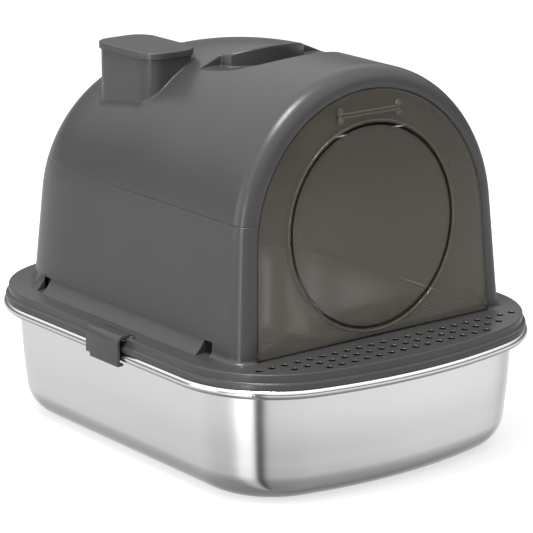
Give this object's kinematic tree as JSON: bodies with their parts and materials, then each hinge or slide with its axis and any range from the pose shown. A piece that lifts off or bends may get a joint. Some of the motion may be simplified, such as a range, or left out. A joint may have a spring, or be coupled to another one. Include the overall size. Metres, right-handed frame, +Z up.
{
  "type": "cat litter box with hood",
  "caption": "Hooded cat litter box: deep steel pan, two-part arched hood, drop-down smoked front panel with a round swing flap, side clips and a lidded roof box.",
  "frame": {"origin": "centre of the footprint on the floor, under the pan", "axes": "+Z up, -Y towards the front panel and the perforated ledge, +X to the right of a person facing the back from the front"},
  "size_m": [0.439, 0.5498, 0.4245],
  "materials": {
    "steel": "satin stainless steel with a polished rolled rim",
    "hood_plastic": "satin dark grey polypropylene",
    "smoked_plastic": "glossy smoked brown, see-through",
    "pin_steel": "drawn wire",
    "tray_plastic": "satin grey",
    "bag_fabric": "non-woven black cloth"
  },
  "bodies": {
    "base": {"pan": "steel", "lower_hood": "hood_plastic", "upper_hood": "hood_plastic", "clip_pin_left": "pin_steel", "clip_pin_right": "pin_steel", "filter_tray": "tray_plastic", "charcoal_bag": "bag_fabric"},
    "door": {"front_panel": "smoked_plastic", "flap_pin_left": "pin_steel", "flap_pin_right": "pin_steel"},
    "flap": {"flap": "smoked_plastic"},
    "clip_left": {"clip_left": "hood_plastic"},
    "clip_right": {"clip_right": "hood_plastic"},
    "box_lid": {"box_lid": "hood_plastic"}
  },
  "joints": [
    {"name": "panel_drop", "type": "hinge", "parent": "base", "child": "door", "pos_m": [0, -0.19231, 0.15235], "axis": [1, 0, 0], "range_deg": [0, 90]},
    {"name": "flap_swing", "type": "hinge", "parent": "door", "child": "flap", "pos_m": [0, -0.18093, 0.35904], "axis": [1, 0, 0], "range_deg": [-75, 75]},
    {"name": "clip_left_swing", "type": "hinge", "parent": "base", "child": "clip_left", "pos_m": [-0.203, -0.015, 0.1435], "axis": [0, 1, 0], "range_deg": [0, 100]},
    {"name": "clip_right_swing", "type": "hinge", "parent": "base", "child": "clip_right", "pos_m": [0.203, -0.015, 0.1435], "axis": [0, -1, 0], "range_deg": [0, 100]},
    {"name": "lid_lift", "type": "slide", "parent": "base", "child": "box_lid", "axis": [0, 0, 1], "range_m": [0, 0.03]}
  ]
}
